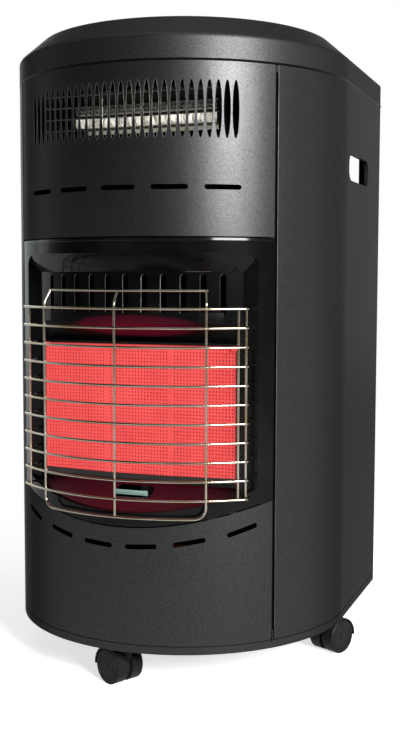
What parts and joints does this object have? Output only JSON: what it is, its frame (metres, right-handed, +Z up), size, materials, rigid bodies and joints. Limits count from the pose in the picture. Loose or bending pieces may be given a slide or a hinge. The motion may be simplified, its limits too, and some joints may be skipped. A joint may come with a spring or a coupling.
{
  "type": "portable gas cabinet heater",
  "caption": "Round-fronted steel cabinet heater on castors with a ceramic radiant gas burner behind a wire guard, an electric quartz unit above and controls in the lid",
  "frame": {"origin": "on the floor under the middle of the whole footprint", "axes": "+Z up, front of the heater towards -Y, +X to the right as seen from the front"},
  "size_m": [0.4368, 0.4392, 0.75],
  "materials": {
    "powder_coat": "satin fine-texture powder coat, dark grey",
    "gloss_enamel": "gloss black enamel",
    "galvanised": "zinc-coated sheet",
    "ceramic_plaque": "perforated ceramic, glowing when lit",
    "chromed_wire": "bright chromed wire",
    "polished_reflector": "polished sheet",
    "quartz": "quartz tube",
    "cap_ceramic": "matt white ceramic",
    "brass": "machined brass",
    "cast_aluminium": "as-cast aluminium",
    "steel": "zinc-plated steel",
    "black_plastic": "black moulded plastic",
    "black_gloss_plastic": "gloss black plastic",
    "red_plastic": "red translucent plastic"
  },
  "bodies": {
    "cabinet": {"base_pan": "powder_coat", "burner_box_centre": "cast_aluminium", "burner_box_left": "cast_aluminium", "burner_box_right": "cast_aluminium", "burner_frame": "gloss_enamel", "burner_hood": "gloss_enamel", "burner_tray": "gloss_enamel", "caster_stems": "steel", "control_facia": "black_gloss_plastic", "control_tray": "powder_coat", "electric_reflector": "polished_reflector", "front_bezel": "powder_coat", "gas_manifold": "brass", "gas_valve_body": "brass", "hose_inlet": "brass", "igniter_body": "black_plastic", "inner_grille": "chromed_wire", "left_side_panel": "powder_coat", "lid": "powder_coat", "lower_front_panel": "powder_coat", "mains_gland": "black_plastic", "partition": "galvanised", "pilot_bracket": "galvanised", "plaque_centre": "ceramic_plaque", "plaque_left": "ceramic_plaque", "plaque_right": "ceramic_plaque", "quartz_tube_lower": "quartz", "quartz_tube_upper": "quartz", "rear_catches": "steel", "rear_hooks": "galvanised", "right_side_panel": "powder_coat", "screws": "steel", "supply_pipe": "brass", "switch_bodies": "black_plastic", "tube_end_caps": "cap_ceramic", "upper_front_panel": "powder_coat", "wire_guard": "chromed_wire"},
    "swivel_front": {"caster_hood_front": "black_plastic", "caster_axle_front": "steel"},
    "wheel_front_a": {"caster_wheel_front_a": "black_plastic"},
    "wheel_front_b": {"caster_wheel_front_b": "black_plastic"},
    "swivel_right": {"caster_hood_right": "black_plastic", "caster_axle_right": "steel"},
    "wheel_right_a": {"caster_wheel_right_a": "black_plastic"},
    "wheel_right_b": {"caster_wheel_right_b": "black_plastic"},
    "swivel_left": {"caster_hood_left": "black_plastic", "caster_axle_left": "steel"},
    "wheel_left_a": {"caster_wheel_left_a": "black_plastic"},
    "wheel_left_b": {"caster_wheel_left_b": "black_plastic"},
    "swivel_rear": {"caster_hood_rear": "black_plastic", "caster_axle_rear": "steel"},
    "wheel_rear_a": {"caster_wheel_rear_a": "black_plastic"},
    "wheel_rear_b": {"caster_wheel_rear_b": "black_plastic"},
    "tap_plug": {"valve_plug": "brass"},
    "tap_knob": {"valve_spindle": "steel", "gas_knob": "black_plastic"},
    "igniter_button": {"igniter_button": "red_plastic"},
    "rocker_1": {"switch_rocker_1": "red_plastic"},
    "rocker_2": {"switch_rocker_2": "red_plastic"},
    "rear_cover": {"rear_cover": "powder_coat"}
  },
  "joints": [
    {"name": "caster_swivel_front", "type": "hinge", "parent": "cabinet", "child": "swivel_front", "pos_m": [0, -0.1847, 0.042], "axis": [0, 0, 1], "continuous": true},
    {"name": "wheel_spin_front_a", "type": "hinge", "parent": "swivel_front", "child": "wheel_front_a", "pos_m": [-0.01157, -0.17878, 0.0205], "axis": [-0.4555, -0.8902, 0], "continuous": true},
    {"name": "wheel_spin_front_b", "type": "hinge", "parent": "swivel_front", "child": "wheel_front_b", "pos_m": [-0.01157, -0.17878, 0.0205], "axis": [-0.4555, -0.8902, 0], "continuous": true},
    {"name": "caster_swivel_right", "type": "hinge", "parent": "cabinet", "child": "swivel_right", "pos_m": [0.1855, 0.0008, 0.042], "axis": [0, 0, 1], "continuous": true},
    {"name": "wheel_spin_right_a", "type": "hinge", "parent": "swivel_right", "child": "wheel_right_a", "pos_m": [0.1913, 0.01243, 0.0205], "axis": [-0.8949, 0.4462, 0], "continuous": true},
    {"name": "wheel_spin_right_b", "type": "hinge", "parent": "swivel_right", "child": "wheel_right_b", "pos_m": [0.1913, 0.01243, 0.0205], "axis": [-0.8949, 0.4462, 0], "continuous": true},
    {"name": "caster_swivel_left", "type": "hinge", "parent": "cabinet", "child": "swivel_left", "pos_m": [-0.1855, 0.0008, 0.042], "axis": [0, 0, 1], "continuous": true},
    {"name": "wheel_spin_left_a", "type": "hinge", "parent": "swivel_left", "child": "wheel_left_a", "pos_m": [-0.1913, 0.01243, 0.0205], "axis": [-0.8949, -0.4462, 0], "continuous": true},
    {"name": "wheel_spin_left_b", "type": "hinge", "parent": "swivel_left", "child": "wheel_left_b", "pos_m": [-0.1913, 0.01243, 0.0205], "axis": [-0.8949, -0.4462, 0], "continuous": true},
    {"name": "caster_swivel_rear", "type": "hinge", "parent": "cabinet", "child": "swivel_rear", "pos_m": [0, 0.1728, 0.042], "axis": [0, 0, 1], "continuous": true},
    {"name": "wheel_spin_rear_a", "type": "hinge", "parent": "swivel_rear", "child": "wheel_rear_a", "pos_m": [0.00226, 0.1856, 0.0205], "axis": [-0.9848, 0.1736, 0], "continuous": true},
    {"name": "wheel_spin_rear_b", "type": "hinge", "parent": "swivel_rear", "child": "wheel_rear_b", "pos_m": [0.00226, 0.1856, 0.0205], "axis": [-0.9848, 0.1736, 0], "continuous": true},
    {"name": "tap_turn", "type": "hinge", "parent": "cabinet", "child": "tap_plug", "pos_m": [-0.056, 0.1383, 0.708], "axis": [0, 0, 1], "range_deg": [0, 180]},
    {"name": "tap_push", "type": "slide", "parent": "tap_plug", "child": "tap_knob", "axis": [0, 0, -1], "range_m": [0, 0.0035], "stiffness_N_per_m": 3000, "springref_m": -0.001},
    {"name": "igniter_push", "type": "slide", "parent": "cabinet", "child": "igniter_button", "axis": [0, 0, -1], "range_m": [0, 0.005], "stiffness_N_per_m": 1500, "springref_m": -0.002},
    {"name": "rocker_tilt_1", "type": "hinge", "parent": "cabinet", "child": "rocker_1", "pos_m": [0.033, 0.1383, 0.7305], "axis": [1, 0, 0], "range_deg": [0, 16]},
    {"name": "rocker_tilt_2", "type": "hinge", "parent": "cabinet", "child": "rocker_2", "pos_m": [0.066, 0.1383, 0.7305], "axis": [1, 0, 0], "range_deg": [0, 16]},
    {"name": "rear_cover_tilt", "type": "hinge", "parent": "cabinet", "child": "rear_cover", "pos_m": [0, 0.1991, 0.0475], "axis": [-1, 0, 0], "range_deg": [0, 35]}
  ]
}
